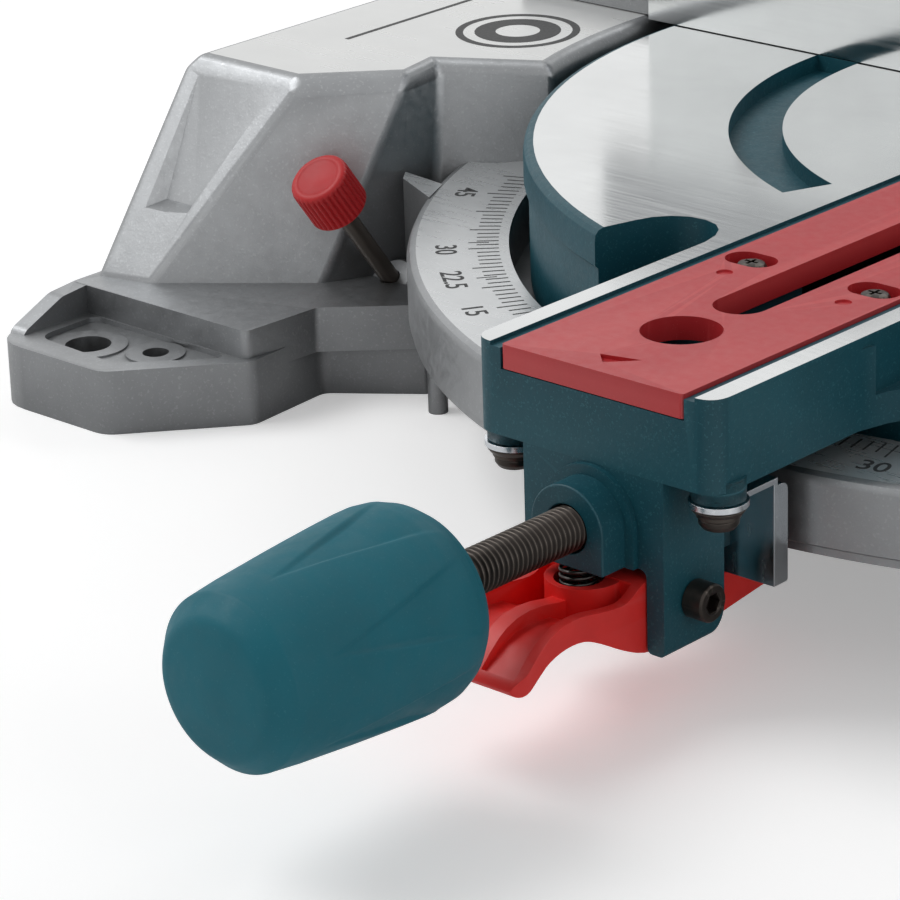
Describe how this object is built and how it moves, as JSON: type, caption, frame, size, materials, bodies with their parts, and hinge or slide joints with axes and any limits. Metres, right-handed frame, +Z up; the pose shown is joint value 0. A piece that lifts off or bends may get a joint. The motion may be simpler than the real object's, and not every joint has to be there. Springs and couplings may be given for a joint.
{
  "type": "mitre saw",
  "caption": "Sliding compound mitre saw with a turntable, mitre scale, screw lock and detent lever, fence, bevelling rails and a sprung head.",
  "frame": {"origin": "on the bench, under the middle of the saw's width and depth", "axes": "+Z up, +Y from the lock handle towards the rails, +X to the motor side"},
  "size_m": [0.568, 0.892, 0.5831],
  "materials": {
    "cast_silver": "satin silver coat on a casting, with a machined top",
    "teal_coat": "fine textured powder coat, with machined faces left bright",
    "red_plate": "satin moulded plastic",
    "red_plastic": "gloss moulded plastic",
    "teal_rubber": "soft matt moulded plastic",
    "black_steel": "black oxide",
    "zinc_plate": "bright zinc plate",
    "bright_steel": "ground steel",
    "saw_steel": "ground blade plate",
    "black_plastic": "fine grained black plastic",
    "copper_winding": "varnished winding"
  },
  "bodies": {
    "base": {"base_casting": "cast_silver", "table_pivot_bolt": "black_steel", "fence": "cast_silver", "fence_bolt_left": "black_steel", "fence_bolt_right": "black_steel", "fence_clamp_screw": "black_steel"},
    "slide_fence": {"slide_fence": "cast_silver"},
    "fence_knob": {"fence_clamp_knob": "black_plastic"},
    "thumbscrew_left": {"thumb_stem_left": "black_steel", "thumb_knob_left": "red_plastic"},
    "thumbscrew_right": {"thumb_stem_right": "black_steel", "thumb_knob_right": "red_plastic"},
    "table": {"turntable": "teal_coat", "kerf_plate": "red_plate", "kerf_screw_1_left": "black_steel", "kerf_screw_1_right": "black_steel", "kerf_screw_2_left": "black_steel", "kerf_screw_2_right": "black_steel", "mitre_pointer": "red_plastic", "lever_screw": "black_steel", "lever_spring": "zinc_plate", "spring_plate": "zinc_plate", "plate_screw_left": "black_steel", "plate_screw_right": "black_steel", "bevel_stud": "bright_steel"},
    "lock_pad": {"lock_pad": "bright_steel"},
    "lock_handle": {"lock_rod": "black_steel", "lock_handle": "teal_rubber"},
    "detent_lever": {"detent_lever": "red_plastic"},
    "bevel": {"bevel_arm": "cast_silver"},
    "bevel_lever": {"bevel_lever": "black_plastic"},
    "slide_knob": {"slide_knob": "black_plastic"},
    "slide": {"rail_left": "bright_steel", "rail_right": "bright_steel", "rail_bridge": "black_plastic", "carrier": "cast_silver", "chop_pin": "bright_steel"},
    "head_lock_pin": {"head_lock_pin": "black_steel"},
    "head": {"head_casting": "teal_coat", "motor_housing": "black_plastic", "motor_cap": "black_plastic", "brush_cap_top": "black_plastic", "brush_cap_bottom": "black_plastic", "stator": "copper_winding", "upper_guard": "teal_coat", "dust_spout": "black_plastic", "handle": "black_plastic"},
    "spindle_button": {"spindle_button": "black_plastic"},
    "trigger": {"trigger": "red_plastic"},
    "lock_off_button": {"lock_off_button": "red_plastic"},
    "armature": {"armature": "bright_steel"},
    "blade": {"spindle": "bright_steel", "inner_flange": "bright_steel", "blade": "saw_steel", "outer_flange": "bright_steel", "arbor_bolt": "black_steel"},
    "lower_guard": {"lower_guard": "zinc_plate"}
  },
  "joints": [
    {"name": "table_swing", "type": "hinge", "parent": "base", "child": "table", "pos_m": [0, -0.062, 0.09], "axis": [0, 0, 1], "range_deg": [-45, 45]},
    {"name": "lock_travel", "type": "slide", "parent": "table", "child": "lock_pad", "axis": [0, 1, 0], "range_m": [-0.00264, 0]},
    {"name": "lock_turn", "type": "hinge", "parent": "lock_pad", "child": "lock_handle", "pos_m": [0, -0.372, 0.0511], "axis": [0, 1, 0], "range_deg": [-540, 0]},
    {"name": "detent_release", "type": "hinge", "parent": "table", "child": "detent_lever", "pos_m": [0, -0.3025, 0.0316], "axis": [1, 0, 0], "range_deg": [-5.5, 0], "stiffness_Nm_per_rad": 0.6, "springref_deg": 28.65, "deforming": ["lever_spring"]},
    {"name": "fence_slide", "type": "slide", "parent": "base", "child": "slide_fence", "axis": [-1, 0, 0], "range_m": [0, 0.06]},
    {"name": "fence_clamp_turn", "type": "hinge", "parent": "base", "child": "fence_knob", "pos_m": [-0.15, -0.042, 0.122], "axis": [0, 1, 0], "range_deg": [0, 360]},
    {"name": "extension_lock_left", "type": "hinge", "parent": "base", "child": "thumbscrew_left", "pos_m": [-0.207, -0.1664, 0.0286], "axis": [0, -0.599, 0.8007], "range_deg": [0, 720]},
    {"name": "extension_lock_right", "type": "hinge", "parent": "base", "child": "thumbscrew_right", "pos_m": [0.207, -0.1664, 0.0286], "axis": [0, -0.599, 0.8007], "range_deg": [0, 720]},
    {"name": "bevel_tilt", "type": "hinge", "parent": "table", "child": "bevel", "pos_m": [0, 0.198, 0.09], "axis": [0, -1, 0], "range_deg": [0, 45]},
    {"name": "bevel_lock", "type": "hinge", "parent": "bevel", "child": "bevel_lever", "pos_m": [0, 0.228, 0.09], "axis": [0, 1, 0], "range_deg": [0, 60]},
    {"name": "head_slide", "type": "slide", "parent": "bevel", "child": "slide", "axis": [0, 1, 0], "range_m": [-0.19, 0]},
    {"name": "slide_lock", "type": "hinge", "parent": "bevel", "child": "slide_knob", "pos_m": [0.06, 0.208, 0.25], "axis": [1, 0, 0], "range_deg": [0, 360]},
    {"name": "head_chop", "type": "hinge", "parent": "slide", "child": "head", "pos_m": [0, 0.143, 0.292], "axis": [1, 0, 0], "range_deg": [0, 45], "stiffness_Nm_per_rad": 14, "springref_deg": -91.67},
    {"name": "head_lock", "type": "slide", "parent": "slide", "child": "head_lock_pin", "axis": [-1, 0, 0], "range_m": [0, 0.01]},
    {"name": "lower_guard_swing", "type": "hinge", "parent": "head", "child": "lower_guard", "pos_m": [0.012, -0.03979, 0.35811], "axis": [1, 0, 0], "range_deg": [-115, 0]},
    {"name": "blade_spin", "type": "hinge", "parent": "head", "child": "blade", "pos_m": [0, -0.03979, 0.35811], "axis": [1, 0, 0], "continuous": true},
    {"name": "armature_spin", "type": "hinge", "parent": "head", "child": "armature", "pos_m": [0.1, -0.00374, 0.36845], "axis": [1, 0, 0], "continuous": true},
    {"name": "spindle_lock_press", "type": "slide", "parent": "head", "child": "spindle_button", "axis": [0, 1, 0], "range_m": [0, 0.002], "stiffness_N_per_m": 1500, "springref_m": -0.003},
    {"name": "trigger_pull", "type": "hinge", "parent": "head", "child": "trigger", "pos_m": [0, -0.08479, 0.56911], "axis": [1, 0, 0], "range_deg": [0, 7], "stiffness_Nm_per_rad": 0.4, "springref_deg": -22.92},
    {"name": "lock_off_press", "type": "slide", "parent": "head", "child": "lock_off_button", "axis": [1, 0, 0], "range_m": [0, 0.003], "stiffness_N_per_m": 800, "springref_m": -0.003}
  ],
  "couplings": [
    {"joint": "lock_travel", "follows": "lock_turn", "m_per_rad": 0.00027852},
    {"joint": "lower_guard_swing", "follows": "head_chop", "ratio": -2.5556},
    {"joint": "armature_spin", "follows": "blade_spin", "ratio": -4}
  ]
}
